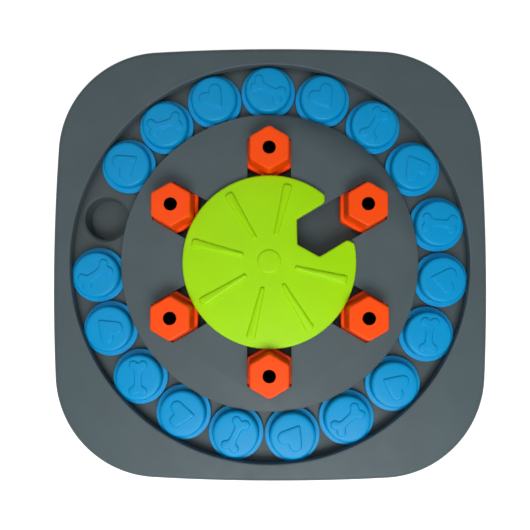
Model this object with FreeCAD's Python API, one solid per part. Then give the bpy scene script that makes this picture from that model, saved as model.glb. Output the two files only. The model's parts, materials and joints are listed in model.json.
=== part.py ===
import FreeCAD, Part
import math
import os

# Dog puzzle feeder: a square grey board that stands on four rubber feet. Round pucks slide in a ring channel over
# nineteen treat wells, one place of the ring being empty. Inside the ring a plate with six radial slots guides six
# hexagonal sliders over six more wells, and a wheel with one notch in its rim locks all sliders but the one at the
# notch. All sizes are millimetres. The origin is under the middle of the board, on the ground. +Z is up.

Vector = FreeCAD.Vector
UP = Vector(0, 0, 1)
HEXAGON_SIDES = 6

# Ring of pucks
PLACES = 19
PUCK_COUNT = PLACES - 1
PUCK_FLANGE_RADIUS = 19.05
PUCK_FLANGE_HEIGHT = 3.0
PUCK_CAP_BASE_RADIUS = 16.0
PUCK_CAP_TOP_RADIUS = 15.7
PUCK_CAP_HEIGHT = 7.2
PUCK_EDGE = 0.8
PUCK_WALL = 1.9
# Half the spare room between two neighbouring pucks when all places are evenly filled
PLACE_PLAY = 0.7
# Least room between two flanges
PUCK_GAP = 0.3
# The puck beside the empty place on its anticlockwise side, and how far each next puck going round from it
# lies from touching, as distances along the pitch circle
LAST_PUCK_DEGREES = 184.3
PUCK_DRIFT = [0.0, 1.0, 0.5, 0.5, 0.6, 0.8, 1.2, 3.0, 0.7, 0.5, 4.1, 2.3, 1.6, 0.5, 0.1, 0.0, 0.0]

# Sliders
SLIDER_COUNT = 6
FIRST_SLIDER_DEGREES = 30.0
SKIRT_FLATS = 33.0
TIER_FLATS = 29.4
KNOB_BASE_FLATS = 26.8
KNOB_TOP_FLATS = 26.0
KNOB_HEIGHT = 13.5
KNOB_EDGE = 1.0
SLIDER_WALL = 2.0
SMELL_HOLE_RADIUS = 4.0
SCENT_HOLE_RADIUS = 2.0
# The knob's collar, pressed into the shoe: how far the knob stands out around it, its depth and its fit
COLLAR_STEP = 1.0
COLLAR_DEPTH = 2.5
COLLAR_FIT = 0.1
# Free travel of a locked slider, and what stays between the knob and the wheel at its end
LOCKED_PLAY = 1.0
STOP_GAP = 0.35

# Wheel
WHEEL_RIM_HEIGHT = 3.2
WHEEL_CROWN = 3.2
WHEEL_WALL = 2.6
WHEEL_RIM_WALL = 3.0
WHEEL_EDGE = 1.2
WHEEL_TURN_DEGREES = 1.2
HUB_RADIUS = 8.1
HUB_RISE = 1.0
HUB_EDGE = 0.6
HUB_UNDERSIDE_RADIUS = 14.0
RIB_COUNT = 7
RIB_STEP_DEGREES = 45.0
RIB_START = 18.0
RIB_END_FROM_RIM = 5.0
RIB_START_WIDTH = 3.2
RIB_END_WIDTH = 6.8
RIB_RISE = 1.2
NOTCH_FLATS = 30.0
NOTCH_CENTRE_FROM_RIM = 20.1
NOTCH_STRAIGHT_FROM_RIM = 6.0
NOTCH_FLARE_DEGREES = 60.0
SEAT_GAP = 0.9
SHAFT_RADIUS = 6.0
SHAFT_FIT = 0.05
SPIGOT_LENGTH = 3.0
POST_RADIUS = 12.0

# Board
RIM_WIDTH = 12.0
CORNER_RADIUS = 72.0
SIDE_BOW_RADIUS = 1450.0
FRAME_WALL = 2.4
FRAME_TOP_THICKNESS = 2.6
FRAME_EDGE = 3.5
OPENING_EDGE = 1.0
LIP_WIDTH = 4.5
FRAME_LIP_OVERHANG = 1.05
PLATE_OVERHANG = 2.55
PLATE_EDGE = 0.8
PLATE_THICKNESS = 3.0
SLOT_GAP = 0.6
# What is left of the plate beyond the slots' outer corners
SLOT_LAND = 9.0
TRAY_WALL = 2.0
TRAY_GAP = 0.3

# Wells
WELL_DEPTH = 13.0
WELL_MOUTH_RADIUS = 15.5
WELL_FLOOR_RADIUS = 14.2
WELL_LIP = 1.2
SLIDER_WELL_DEPTH = 7.0
SLIDER_WELL_MOUTH_RADIUS = 12.0
SLIDER_WELL_FLOOR_RADIUS = 11.2

# Clearances
GUIDE_GAP = 0.3
LIFT_GAP = 0.4
TROUGH_GAP = 0.5
WHEEL_LIFT = 0.6

# Feet and fasteners
FOOT_HEIGHT = 1.5
FOOT_RADIUS = 8.0
FOOT_STEM_RADIUS = 3.0
FOOT_STEM_HEIGHT = 4.0
FOOT_STEM_HEAD_RADIUS = 3.8
FOOT_STEM_HEAD_HEIGHT = 1.6
FOOT_FIT = 0.1
FOOT_CENTRE_FROM_CORNER = 18.0
LEG_RADIUS = 9.5
SCREW_RADIUS = 1.5
SCREW_HEAD_RADIUS = 3.0
SCREW_HEAD_HEIGHT = 2.2
SCREW_FIT = 0.05
SCREW_HOLE_GAP = 0.3
SCREW_BITE = 7.0
DRIVE_RADIUS = 1.1
DRIVE_DEPTH = 1.2
POST_PIN_RADIUS = 3.6
POST_PIN_LENGTH = 9.0
POST_PIN_GAP = 0.3
PLATE_SCREW_FROM_EDGE = 29.5
FRAME_SCREW_SPREAD_DEGREES = 15.0
FRAME_SCREW_FROM_OPENING = 13.0
WASHER_RADIUS = 9.0
WASHER_THICKNESS = 1.5

# Heights, from the ground up
SKIRT_BOTTOM = FOOT_HEIGHT
CHANNEL_FLOOR = FOOT_HEIGHT + 1.0 + TRAY_WALL + WELL_DEPTH
TROUGH_FLOOR = CHANNEL_FLOOR - WELL_DEPTH + SLIDER_WELL_DEPTH
PUCK_BOTTOM = CHANNEL_FLOOR + GUIDE_GAP
PLATE_UNDERSIDE = PUCK_BOTTOM + PUCK_FLANGE_HEIGHT + LIFT_GAP
PLATE_TOP = PLATE_UNDERSIDE + PLATE_THICKNESS
FRAME_TOP = PLATE_TOP + 2.8
WHEEL_UNDERSIDE = PLATE_TOP + WHEEL_LIFT
SLIDER_BOTTOM = TROUGH_FLOOR + GUIDE_GAP
POST_TOP = PLATE_UNDERSIDE
SHAFT_END = TROUGH_FLOOR - TRAY_WALL - GUIDE_GAP
SKIRT_TOP = PLATE_UNDERSIDE - GUIDE_GAP
TIER_TOP = WHEEL_UNDERSIDE - GUIDE_GAP
KNOB_TOP = TIER_TOP + KNOB_HEIGHT

# Places, from the middle outwards
PITCH_DEGREES = 360.0 / PLACES
PITCH_RADIUS = (PUCK_FLANGE_RADIUS + PLACE_PLAY) / math.sin(math.radians(PITCH_DEGREES / 2))
CHANNEL_INNER_RADIUS = PITCH_RADIUS - PUCK_FLANGE_RADIUS - GUIDE_GAP
CHANNEL_OUTER_RADIUS = PITCH_RADIUS + PUCK_FLANGE_RADIUS + GUIDE_GAP
PLATE_RADIUS = PITCH_RADIUS - PUCK_FLANGE_RADIUS + PLATE_OVERHANG
OPENING_RADIUS = PITCH_RADIUS + PUCK_FLANGE_RADIUS - FRAME_LIP_OVERHANG
BOARD_WIDTH = 2 * (OPENING_RADIUS + RIM_WIDTH)
SLOT_FLATS = TIER_FLATS + 2 * SLOT_GAP
TROUGH_FLATS = SKIRT_FLATS + 2 * TROUGH_GAP
KNOB_CORNER_RADIUS = KNOB_BASE_FLATS / math.sqrt(3)
SLIDER_REST_RADIUS = PLATE_RADIUS - SLOT_LAND - SLOT_FLATS / math.sqrt(3)
WHEEL_RADIUS = SLIDER_REST_RADIUS - KNOB_CORNER_RADIUS - LOCKED_PLAY - STOP_GAP
RIB_END = WHEEL_RADIUS - RIB_END_FROM_RIM
NOTCH_CENTRE_RADIUS = WHEEL_RADIUS - NOTCH_CENTRE_FROM_RIM
SLIDER_TRAVEL = SLIDER_REST_RADIUS - NOTCH_CENTRE_RADIUS - SEAT_GAP
PLATE_SCREW_RADIUS = PLATE_RADIUS - PLATE_SCREW_FROM_EDGE
FRAME_SCREW_RADIUS = OPENING_RADIUS + FRAME_SCREW_FROM_OPENING


def polar(radius, degrees, z=0.0):
    """Point at a radius and an angle about the middle of the board."""
    angle = math.radians(degrees)
    return Vector(radius * math.cos(angle), radius * math.sin(angle), z)


def puck_degrees():
    """Angles of the pucks: puck 1 is clockwise of the empty place, and they count on clockwise to the last."""
    touching = 2 * math.asin((PUCK_FLANGE_RADIUS + PUCK_GAP / 2) / PITCH_RADIUS)
    angles = [LAST_PUCK_DEGREES]
    for drift in PUCK_DRIFT:
        angles.append(angles[-1] + math.degrees(touching + drift / PITCH_RADIUS))
    return angles[::-1]


def slider_degrees():
    """Angles of the six slots."""
    return [FIRST_SLIDER_DEGREES + k * 360.0 / SLIDER_COUNT for k in range(SLIDER_COUNT)]


def tongue_degrees():
    """Angles midway between the slots, where the plate is fastened down."""
    return [degrees + 180.0 / SLIDER_COUNT for degrees in slider_degrees()]


def well_degrees():
    """Angles of the wells: even places, one of them midway in the gap between the first and last puck."""
    pucks = puck_degrees()
    empty_place = (pucks[0] + pucks[-1] + 360.0) / 2
    return [empty_place + k * PITCH_DEGREES for k in range(PLACES)]


def corner_centre_offset():
    """How far the corner arcs' centres lie from the middle along X and Y."""
    set_back = SIDE_BOW_RADIUS - BOARD_WIDTH / 2
    reach = SIDE_BOW_RADIUS - CORNER_RADIUS
    return (math.sqrt(2 * reach**2 - set_back**2) - set_back) / 2


def foot_centres():
    """Middles of the four feet, on the diagonals."""
    corner = corner_centre_offset() * math.sqrt(2) + CORNER_RADIUS
    radius = corner - FRAME_WALL - FOOT_CENTRE_FROM_CORNER
    return [polar(radius, 45 + 90 * quarter) for quarter in range(4)]


def frame_screw_centres():
    """Middles of the eight frame screws, one on each side of every foot."""
    return [
        polar(FRAME_SCREW_RADIUS, 45 + 90 * quarter + side * FRAME_SCREW_SPREAD_DEGREES)
        for quarter in range(4)
        for side in (-1, 1)
    ]


def plate_screw_centres():
    """Middles of the six plate screws, one under each tongue of the plate."""
    return [polar(PLATE_SCREW_RADIUS, degrees) for degrees in tongue_degrees()]


def cylinder(radius, bottom, top, centre=Vector()):
    """Upright cylinder between two heights."""
    return Part.makeCylinder(radius, top - bottom, Vector(centre.x, centre.y, bottom))


def tube(inner, outer, bottom, top, centre=Vector()):
    """Upright ring between two heights."""
    return cylinder(outer, bottom, top, centre).cut(cylinder(inner, bottom, top, centre))


def lathe(profile, centre=Vector()):
    """Solid turned about an upright axis from a closed list of (radius, height) points."""
    points = [Vector(radius, 0, height) for radius, height in profile]
    solid = Part.Face(Part.makePolygon(points + points[:1])).revolve(Vector(), UP, 360)
    return solid.translated(centre)


def prism(points, bottom, top):
    """Upright prism over a closed list of (x, y) points."""
    corners = [Vector(x, y, bottom) for x, y in points]
    return Part.Face(Part.makePolygon(corners + corners[:1])).extrude(UP * (top - bottom))


def polygon_face(corners):
    """Flat face over a list of points."""
    return Part.Face(Part.makePolygon(corners + corners[:1]))


def hexagon(flats, radius, z):
    """Corners of a hexagon on the X axis, two of them on that axis."""
    return [Vector(radius, 0, z) + polar(flats / math.sqrt(3), 60 * k) for k in range(HEXAGON_SIDES)]


def hexagon_block(bottom_flats, top_flats, bottom, top, radius):
    """Hexagonal block whose width may taper upwards."""
    low = hexagon(bottom_flats, radius, bottom)
    high = hexagon(top_flats, radius, top)
    faces = [polygon_face(low[::-1]), polygon_face(high)]
    for k in range(HEXAGON_SIDES):
        after = (k + 1) % HEXAGON_SIDES
        faces.append(polygon_face([low[k], low[after], high[after], high[k]]))
    shell = Part.makeShell(faces)
    shell.sewShape()
    return Part.makeSolid(shell)


def turned(shape, degrees):
    """Copy of a shape, turned about the middle of the board."""
    copy = shape.copy()
    copy.rotate(Vector(), UP, degrees)
    return copy


def united(shapes):
    """One solid out of several that meet."""
    return shapes[0].fuse(shapes[1:]).removeSplitter()


def edges_at(shape, height, radius=None):
    """Edges that lie level at a height, and on a circle about the middle if a radius is given."""
    found = []
    for edge in shape.Edges:
        box = edge.BoundBox
        level = abs(box.ZMin - height) < 1e-6 and abs(box.ZMax - height) < 1e-6
        if level and radius is None:
            found.append(edge)
        elif level and hasattr(edge.Curve, "Radius") and abs(edge.Curve.Radius - radius) < 1e-6:
            found.append(edge)
    return found


def board_block(inset, bottom, top):
    """Block with the board's outline, drawn in by inset: four bowed sides and four tangent corner arcs."""
    offset = corner_centre_offset()
    set_back = SIDE_BOW_RADIUS - BOARD_WIDTH / 2
    join = math.degrees(math.atan2(offset, offset + set_back))
    side_centre = Vector(-set_back, 0, bottom)
    corner_centre = Vector(offset, offset, bottom)
    side = [side_centre + polar(SIDE_BOW_RADIUS - inset, angle) for angle in (-join, 0, join)]
    corner = [corner_centre + polar(CORNER_RADIUS - inset, angle) for angle in (join, 45, 90 - join)]
    quarter = Part.Wire([Part.Arc(*side).toShape(), Part.Arc(*corner).toShape()])
    edges = [edge for turn in range(4) for edge in turned(quarter, 90 * turn).Edges]
    return Part.Face(Part.Wire(edges)).extrude(UP * (top - bottom))


def slot_star(flats, bottom, top):
    """Six radial slots with hexagonal ends, merged in the middle."""
    half = flats / 2
    corner = flats / math.sqrt(3)
    arm = prism(
        [
            (0, -half),
            (SLIDER_REST_RADIUS + corner / 2, -half),
            (SLIDER_REST_RADIUS + corner, 0),
            (SLIDER_REST_RADIUS + corner / 2, half),
            (0, half),
        ],
        bottom,
        top,
    )
    return united([turned(arm, degrees) for degrees in slider_degrees()])


def well_block(mouth, floor, depth, surface, centre, wall):
    """Drafted cup below a surface. With wall 0 it is the cup's hollow, otherwise its outside."""
    return lathe(
        [
            (0, surface - depth - wall),
            (floor + wall, surface - depth - wall),
            (mouth + wall, surface),
            (0, surface),
        ],
        centre,
    )


def well_lip(mouth, surface, centre):
    """Chamfer round a well's mouth."""
    return lathe([(0, surface - WELL_LIP), (mouth, surface - WELL_LIP), (mouth + WELL_LIP, surface), (0, surface)], centre)


def top_frame():
    """Rounded square cover with a round opening, whose thick lip overhangs the puck flanges."""
    block = board_block(0, SKIRT_BOTTOM, FRAME_TOP)
    block = block.makeFillet(FRAME_EDGE, edges_at(block, FRAME_TOP))
    ceiling = FRAME_TOP - FRAME_TOP_THICKNESS
    shell = block.cut(board_block(FRAME_WALL, SKIRT_BOTTOM, ceiling))
    lip = tube(OPENING_RADIUS, OPENING_RADIUS + LIP_WIDTH, PLATE_UNDERSIDE, ceiling)
    posts = [cylinder(POST_PIN_RADIUS, CHANNEL_FLOOR, ceiling, centre) for centre in frame_screw_centres()]
    shell = united([shell, lip] + posts)
    shell = shell.cut(cylinder(OPENING_RADIUS, PLATE_UNDERSIDE, FRAME_TOP))
    for centre in frame_screw_centres():
        shell = shell.cut(cylinder(SCREW_RADIUS + SCREW_FIT, CHANNEL_FLOOR, CHANNEL_FLOOR + SCREW_BITE - 1.0, centre))
    return shell.makeFillet(OPENING_EDGE, edges_at(shell, FRAME_TOP, OPENING_RADIUS))


def tray_hub():
    """Middle of the tray: six troughs below a deck, hollow from below, with the wheel's post."""
    hub = cylinder(CHANNEL_INNER_RADIUS, TROUGH_FLOOR - TRAY_WALL, PLATE_UNDERSIDE)
    hub = hub.cut(slot_star(TROUGH_FLATS, TROUGH_FLOOR, PLATE_UNDERSIDE))
    pockets = cylinder(CHANNEL_INNER_RADIUS - TRAY_WALL, TROUGH_FLOOR - TRAY_WALL, PLATE_UNDERSIDE - TRAY_WALL)
    walls = slot_star(TROUGH_FLATS + 2 * TRAY_WALL, TROUGH_FLOOR - TRAY_WALL, PLATE_UNDERSIDE)
    hub = hub.cut(pockets.cut(walls))
    post = cylinder(POST_RADIUS, TROUGH_FLOOR - TRAY_WALL, POST_TOP)
    return united([hub, post])


def plate_sockets(outside):
    """Cups in the tray's deck that take the plate's pins, as solids or as their hollows."""
    floor = PLATE_UNDERSIDE - POST_PIN_LENGTH
    inner = POST_PIN_RADIUS + POST_PIN_GAP
    if outside:
        return [cylinder(inner + TRAY_WALL, floor - TRAY_WALL, PLATE_UNDERSIDE, at) for at in plate_screw_centres()]
    return [
        united([
            cylinder(inner, floor, PLATE_UNDERSIDE, at),
            cylinder(SCREW_RADIUS + SCREW_HOLE_GAP, floor - TRAY_WALL, floor, at),
        ])
        for at in plate_screw_centres()
    ]


def tray_legs():
    """Hollow legs that carry the feet."""
    floor = FOOT_HEIGHT
    legs = []
    for centre in foot_centres():
        leg = cylinder(LEG_RADIUS, floor, CHANNEL_FLOOR, centre)
        hollow = cylinder(LEG_RADIUS - TRAY_WALL, floor + TRAY_WALL, CHANNEL_FLOOR - TRAY_WALL, centre)
        hole = cylinder(FOOT_STEM_RADIUS + FOOT_FIT, floor, floor + TRAY_WALL, centre)
        legs.append(leg.cut(united([hollow, hole])))
    return legs


def base_tray():
    """Tray under the frame and plate: ring channel with its wells, the hub with its troughs, and the legs."""
    underside = CHANNEL_FLOOR - TRAY_WALL
    ring_wells = [polar(PITCH_RADIUS, degrees) for degrees in well_degrees()]
    slider_wells = [polar(SLIDER_REST_RADIUS, degrees) for degrees in slider_degrees()]
    plate = board_block(FRAME_WALL + TRAY_GAP, underside, CHANNEL_FLOOR)
    plate = plate.cut(cylinder(CHANNEL_INNER_RADIUS - TRAY_WALL, underside, CHANNEL_FLOOR))
    wall = tube(CHANNEL_OUTER_RADIUS, CHANNEL_OUTER_RADIUS + TRAY_WALL, underside, PLATE_UNDERSIDE)
    cups = [
        well_block(WELL_MOUTH_RADIUS, WELL_FLOOR_RADIUS, WELL_DEPTH, CHANNEL_FLOOR, at, TRAY_WALL)
        for at in ring_wells
    ]
    cups += [
        well_block(
            SLIDER_WELL_MOUTH_RADIUS, SLIDER_WELL_FLOOR_RADIUS, SLIDER_WELL_DEPTH, TROUGH_FLOOR, at, TRAY_WALL
        )
        for at in slider_wells
    ]
    tray = united([plate, wall, tray_hub()] + cups + plate_sockets(True))
    hollows = []
    for at in ring_wells:
        hollows.append(well_block(WELL_MOUTH_RADIUS, WELL_FLOOR_RADIUS, WELL_DEPTH, CHANNEL_FLOOR, at, 0))
        hollows.append(well_lip(WELL_MOUTH_RADIUS, CHANNEL_FLOOR, at))
    for at in slider_wells:
        hollows.append(
            well_block(
                SLIDER_WELL_MOUTH_RADIUS, SLIDER_WELL_FLOOR_RADIUS, SLIDER_WELL_DEPTH, TROUGH_FLOOR, at, 0
            )
        )
    hollows += plate_sockets(False)
    hollows.append(cylinder(SHAFT_RADIUS + SHAFT_FIT, TROUGH_FLOOR - TRAY_WALL, POST_TOP))
    for at in frame_screw_centres():
        hollows.append(cylinder(SCREW_RADIUS + SCREW_HOLE_GAP, underside, CHANNEL_FLOOR, at))
    tray = tray.cut(hollows)
    return united([tray] + tray_legs())


def centre_plate():
    """Round plate with six radial slots; its edge overhangs the puck flanges, its pins stand in the tray."""
    plate = cylinder(PLATE_RADIUS, PLATE_UNDERSIDE, PLATE_TOP)
    plate = plate.makeFillet(PLATE_EDGE, edges_at(plate, PLATE_TOP))
    plate = plate.cut(slot_star(SLOT_FLATS, PLATE_UNDERSIDE, PLATE_TOP))
    bottom = PLATE_UNDERSIDE - POST_PIN_LENGTH
    pins = [cylinder(POST_PIN_RADIUS, bottom, PLATE_UNDERSIDE, at) for at in plate_screw_centres()]
    pilots = [cylinder(SCREW_RADIUS + SCREW_FIT, bottom, bottom + SCREW_BITE, at) for at in plate_screw_centres()]
    return united([plate] + pins).cut(pilots)


def crowned_disc(radius, bottom, drop):
    """Disc whose top follows the wheel's crown, lowered by drop."""
    sphere_radius = (WHEEL_RADIUS**2 + WHEEL_CROWN**2) / (2 * WHEEL_CROWN)
    crown_top = WHEEL_UNDERSIDE + WHEEL_RIM_HEIGHT + WHEEL_CROWN
    centre = crown_top - sphere_radius
    rim = Vector(radius, 0, centre + math.sqrt((sphere_radius - drop) ** 2 - radius**2))
    shoulder = Vector(radius / 2, 0, centre + math.sqrt((sphere_radius - drop) ** 2 - radius**2 / 4))
    top = Vector(0, 0, crown_top - drop)
    edges = [
        Part.Arc(rim, shoulder, top).toShape(),
        Part.makeLine(top, Vector(0, 0, bottom)),
        Part.makeLine(Vector(0, 0, bottom), Vector(radius, 0, bottom)),
        Part.makeLine(Vector(radius, 0, bottom), rim),
    ]
    return Part.Face(Part.Wire(edges)).revolve(Vector(), UP, 360)


def notch_block(grow, bottom, top):
    """The wheel's notch: half a hexagon, a straight mouth and a flare at the rim, wider by grow on each side."""
    half = NOTCH_FLATS / 2 + grow
    corner = 2 * half / math.sqrt(3)
    flare_start = WHEEL_RADIUS - NOTCH_STRAIGHT_FROM_RIM
    flare_end = WHEEL_RADIUS + NOTCH_STRAIGHT_FROM_RIM
    flared = half + (flare_end - flare_start) * math.tan(math.radians(NOTCH_FLARE_DEGREES))
    side = [
        (NOTCH_CENTRE_RADIUS - corner / 2, half),
        (flare_start, half),
        (flare_end, flared),
    ]
    mirrored = [(x, -y) for x, y in reversed(side)]
    return prism([(NOTCH_CENTRE_RADIUS - corner, 0)] + side + mirrored, bottom, top)


def wheel_rib(top):
    """One raised rib along the X axis: round at both ends and wider at the rim."""
    start = cylinder(RIB_START_WIDTH / 2, WHEEL_UNDERSIDE, top, Vector(RIB_START, 0, 0))
    end = cylinder(RIB_END_WIDTH / 2, WHEEL_UNDERSIDE, top, Vector(RIB_END - RIB_END_WIDTH / 2, 0, 0))
    web = prism(
        [
            (RIB_START, -RIB_START_WIDTH / 2),
            (RIB_END - RIB_END_WIDTH / 2, -RIB_END_WIDTH / 2),
            (RIB_END - RIB_END_WIDTH / 2, RIB_END_WIDTH / 2),
            (RIB_START, RIB_START_WIDTH / 2),
        ],
        WHEEL_UNDERSIDE,
        top,
    )
    return united([start, end, web])


def wheel():
    """Crowned wheel, hollow below, with a rim notch, seven ribs, a hub button and a socket for its shaft."""
    crown_top = WHEEL_UNDERSIDE + WHEEL_RIM_HEIGHT + WHEEL_CROWN
    rim_top = WHEEL_UNDERSIDE + WHEEL_RIM_HEIGHT
    above = crown_top + RIB_RISE + HUB_RISE
    body = crowned_disc(WHEEL_RADIUS, WHEEL_UNDERSIDE, 0)
    body = body.makeFillet(WHEEL_EDGE, edges_at(body, rim_top, WHEEL_RADIUS))
    hollow = crowned_disc(WHEEL_RADIUS - WHEEL_RIM_WALL, WHEEL_UNDERSIDE, WHEEL_WALL)
    hollow = hollow.cut(cylinder(HUB_UNDERSIDE_RADIUS, WHEEL_UNDERSIDE, above))
    hollow = hollow.cut(notch_block(WHEEL_RIM_WALL, WHEEL_UNDERSIDE, above))
    ribs = [turned(wheel_rib(above), RIB_STEP_DEGREES * (k + 1)) for k in range(RIB_COUNT)]
    raised = crowned_disc(WHEEL_RADIUS, WHEEL_UNDERSIDE + WHEEL_RIM_HEIGHT / 2, -RIB_RISE)
    ribs = [rib.common(raised).cut(hollow) for rib in ribs]
    button = cylinder(HUB_RADIUS, WHEEL_UNDERSIDE, crown_top + HUB_RISE)
    button = button.makeFillet(HUB_EDGE, edges_at(button, crown_top + HUB_RISE))
    body = united([body.cut(hollow)] + ribs + [button])
    body = body.cut(notch_block(0, WHEEL_UNDERSIDE, above))
    body = body.cut(cylinder(SHAFT_RADIUS + SHAFT_FIT, WHEEL_UNDERSIDE, WHEEL_UNDERSIDE + SPIGOT_LENGTH + GUIDE_GAP))
    return turned(body, FIRST_SLIDER_DEGREES + WHEEL_TURN_DEGREES)


def wheel_shaft():
    """Shaft pressed into the wheel's hub, with a shoulder that carries the wheel on the tray's post."""
    shaft = lathe(
        [
            (0, SHAFT_END),
            (SHAFT_RADIUS, SHAFT_END),
            (SHAFT_RADIUS, POST_TOP + GUIDE_GAP),
            (POST_RADIUS, POST_TOP + GUIDE_GAP),
            (POST_RADIUS, WHEEL_UNDERSIDE),
            (SHAFT_RADIUS, WHEEL_UNDERSIDE),
            (SHAFT_RADIUS, WHEEL_UNDERSIDE + SPIGOT_LENGTH),
            (0, WHEEL_UNDERSIDE + SPIGOT_LENGTH),
        ]
    )
    return shaft.cut(cylinder(SCREW_RADIUS + SCREW_FIT, SHAFT_END, SHAFT_END + SCREW_BITE))


def screw(seat, centre=Vector()):
    """Screw driven upwards, its head's flat against a seat: a round head with a hexagonal drive, and a shank."""
    head = lathe(
        [
            (0, seat - SCREW_HEAD_HEIGHT),
            (SCREW_HEAD_RADIUS * 0.8, seat - SCREW_HEAD_HEIGHT),
            (SCREW_HEAD_RADIUS, seat - SCREW_HEAD_HEIGHT / 2),
            (SCREW_HEAD_RADIUS, seat),
            (0, seat),
        ],
        centre,
    )
    shank = cylinder(SCREW_RADIUS, seat, seat + SCREW_BITE, centre)
    drive = polygon_face([centre + corner for corner in hexagon(2 * DRIVE_RADIUS, 0, seat - SCREW_HEAD_HEIGHT)])
    drive = drive.extrude(UP * DRIVE_DEPTH)
    return united([head, shank]).cut(drive)


def wheel_washer():
    """Washer under the tray that keeps the wheel's shaft in its post."""
    return tube(SCREW_RADIUS + SCREW_HOLE_GAP, WASHER_RADIUS, SHAFT_END - WASHER_THICKNESS, SHAFT_END)


def wheel_screw():
    """Screw through the washer into the wheel's shaft."""
    return screw(SHAFT_END - WASHER_THICKNESS)


def plate_screws():
    """Screws through the tray's cups into the plate's pins."""
    seat = PLATE_UNDERSIDE - POST_PIN_LENGTH - TRAY_WALL
    return Part.makeCompound([screw(seat, at) for at in plate_screw_centres()])


def frame_screws():
    """Screws through the tray into the frame's posts."""
    return Part.makeCompound([screw(CHANNEL_FLOOR - TRAY_WALL, at) for at in frame_screw_centres()])


def puck(degrees):
    """Round puck: a wide flange that the channel's lips hold down, and a drafted cap, hollow from below."""
    shoulder = PUCK_BOTTOM + PUCK_FLANGE_HEIGHT
    top = shoulder + PUCK_CAP_HEIGHT
    hollow_radius = PUCK_CAP_TOP_RADIUS - PUCK_WALL
    return lathe(
        [
            (hollow_radius, PUCK_BOTTOM),
            (PUCK_FLANGE_RADIUS, PUCK_BOTTOM),
            (PUCK_FLANGE_RADIUS, shoulder),
            (PUCK_CAP_BASE_RADIUS, shoulder),
            (PUCK_CAP_TOP_RADIUS, top - PUCK_EDGE),
            (PUCK_CAP_TOP_RADIUS - PUCK_EDGE, top),
            (0, top),
            (0, top - PUCK_WALL),
            (hollow_radius, top - PUCK_WALL),
        ],
        polar(PITCH_RADIUS, degrees),
    )


def slider(degrees):
    """A slider's drafted knob, hollow, with a sniffing hole and a collar that is pressed into the shoe."""
    radius = SLIDER_REST_RADIUS
    collar_flats = KNOB_BASE_FLATS - 2 * COLLAR_STEP
    hollow_flats = collar_flats - 2 * SLIDER_WALL
    knob = hexagon_block(KNOB_BASE_FLATS, KNOB_TOP_FLATS, TIER_TOP, KNOB_TOP, radius)
    knob = knob.makeFillet(KNOB_EDGE, edges_at(knob, KNOB_TOP))
    collar = hexagon_block(collar_flats, collar_flats, TIER_TOP - COLLAR_DEPTH, TIER_TOP, radius)
    hollow = hexagon_block(hollow_flats, hollow_flats, TIER_TOP - COLLAR_DEPTH, KNOB_TOP - SLIDER_WALL, radius)
    smell_hole = cylinder(SMELL_HOLE_RADIUS, TIER_TOP, KNOB_TOP, Vector(radius, 0, 0))
    return turned(united([knob, collar]).cut([hollow, smell_hole]), degrees)


def slider_shoe(degrees):
    """A slider's shoe: a skirt that runs under the plate, a tier in the slot, and a floor with a scent hole."""
    radius = SLIDER_REST_RADIUS
    floor = SLIDER_BOTTOM + SLIDER_WALL
    wide_flats = SKIRT_FLATS - 2 * SLIDER_WALL
    seat_flats = KNOB_BASE_FLATS - 2 * COLLAR_STEP + 2 * COLLAR_FIT
    skirt = hexagon_block(SKIRT_FLATS, SKIRT_FLATS, SLIDER_BOTTOM, SKIRT_TOP, radius)
    tier = hexagon_block(TIER_FLATS, TIER_FLATS, SLIDER_BOTTOM, TIER_TOP, radius)
    wide = hexagon_block(wide_flats, wide_flats, floor, SKIRT_TOP - SLIDER_WALL, radius)
    seat = hexagon_block(seat_flats, seat_flats, floor, TIER_TOP, radius)
    scent_hole = cylinder(SCENT_HOLE_RADIUS, SLIDER_BOTTOM, floor, Vector(radius, 0, 0))
    return turned(united([skirt, tier]).cut([wide, seat, scent_hole]), degrees)


def rubber_foot(centre):
    """Rubber foot with a headed stem that snaps through the leg's floor."""
    ledge = FOOT_HEIGHT + TRAY_WALL
    neck = FOOT_STEM_RADIUS
    return lathe(
        [
            (0, 0),
            (FOOT_RADIUS - 0.5, 0),
            (FOOT_RADIUS, 0.5),
            (FOOT_RADIUS, FOOT_HEIGHT),
            (neck, FOOT_HEIGHT),
            (neck, ledge + FOOT_FIT),
            (FOOT_STEM_HEAD_RADIUS, ledge + FOOT_FIT),
            (neck * 0.7, ledge + FOOT_FIT + FOOT_STEM_HEAD_HEIGHT),
            (0, ledge + FOOT_FIT + FOOT_STEM_HEAD_HEIGHT),
        ],
        centre,
    )


def assembly():
    """Every piece under its node's name."""
    pieces = {
        "top_frame": top_frame(),
        "base_tray": base_tray(),
        "centre_plate": centre_plate(),
        "wheel": wheel(),
        "wheel_shaft": wheel_shaft(),
        "wheel_washer": wheel_washer(),
        "wheel_screw": wheel_screw(),
        "plate_screws": plate_screws(),
        "frame_screws": frame_screws(),
    }
    for number, degrees in enumerate(puck_degrees(), 1):
        pieces[f"puck_{number:02d}"] = puck(degrees)
    for number, degrees in enumerate(slider_degrees(), 1):
        pieces[f"slider_{number}"] = slider(degrees)
        pieces[f"slider_shoe_{number}"] = slider_shoe(degrees)
    for number, centre in enumerate(foot_centres(), 1):
        pieces[f"rubber_foot_{number}"] = rubber_foot(centre)
    return pieces


def main():
    os.makedirs("parts", exist_ok=True)
    for node, shape in assembly().items():
        if not shape.isValid():
            print("invalid shape:", node)
        print(f"{node}: {len(shape.Solids)} solid(s), {shape.Volume / 1000:.2f} cm3")
        shape.exportStep(f"parts/{node}.step")


if __name__ == "__main__":
    main()
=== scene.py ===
import json
import math

import bmesh
import bpy
from bpy.props import FloatProperty, FloatVectorProperty, IntProperty, PointerProperty
from mathutils import Matrix, Vector

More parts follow.
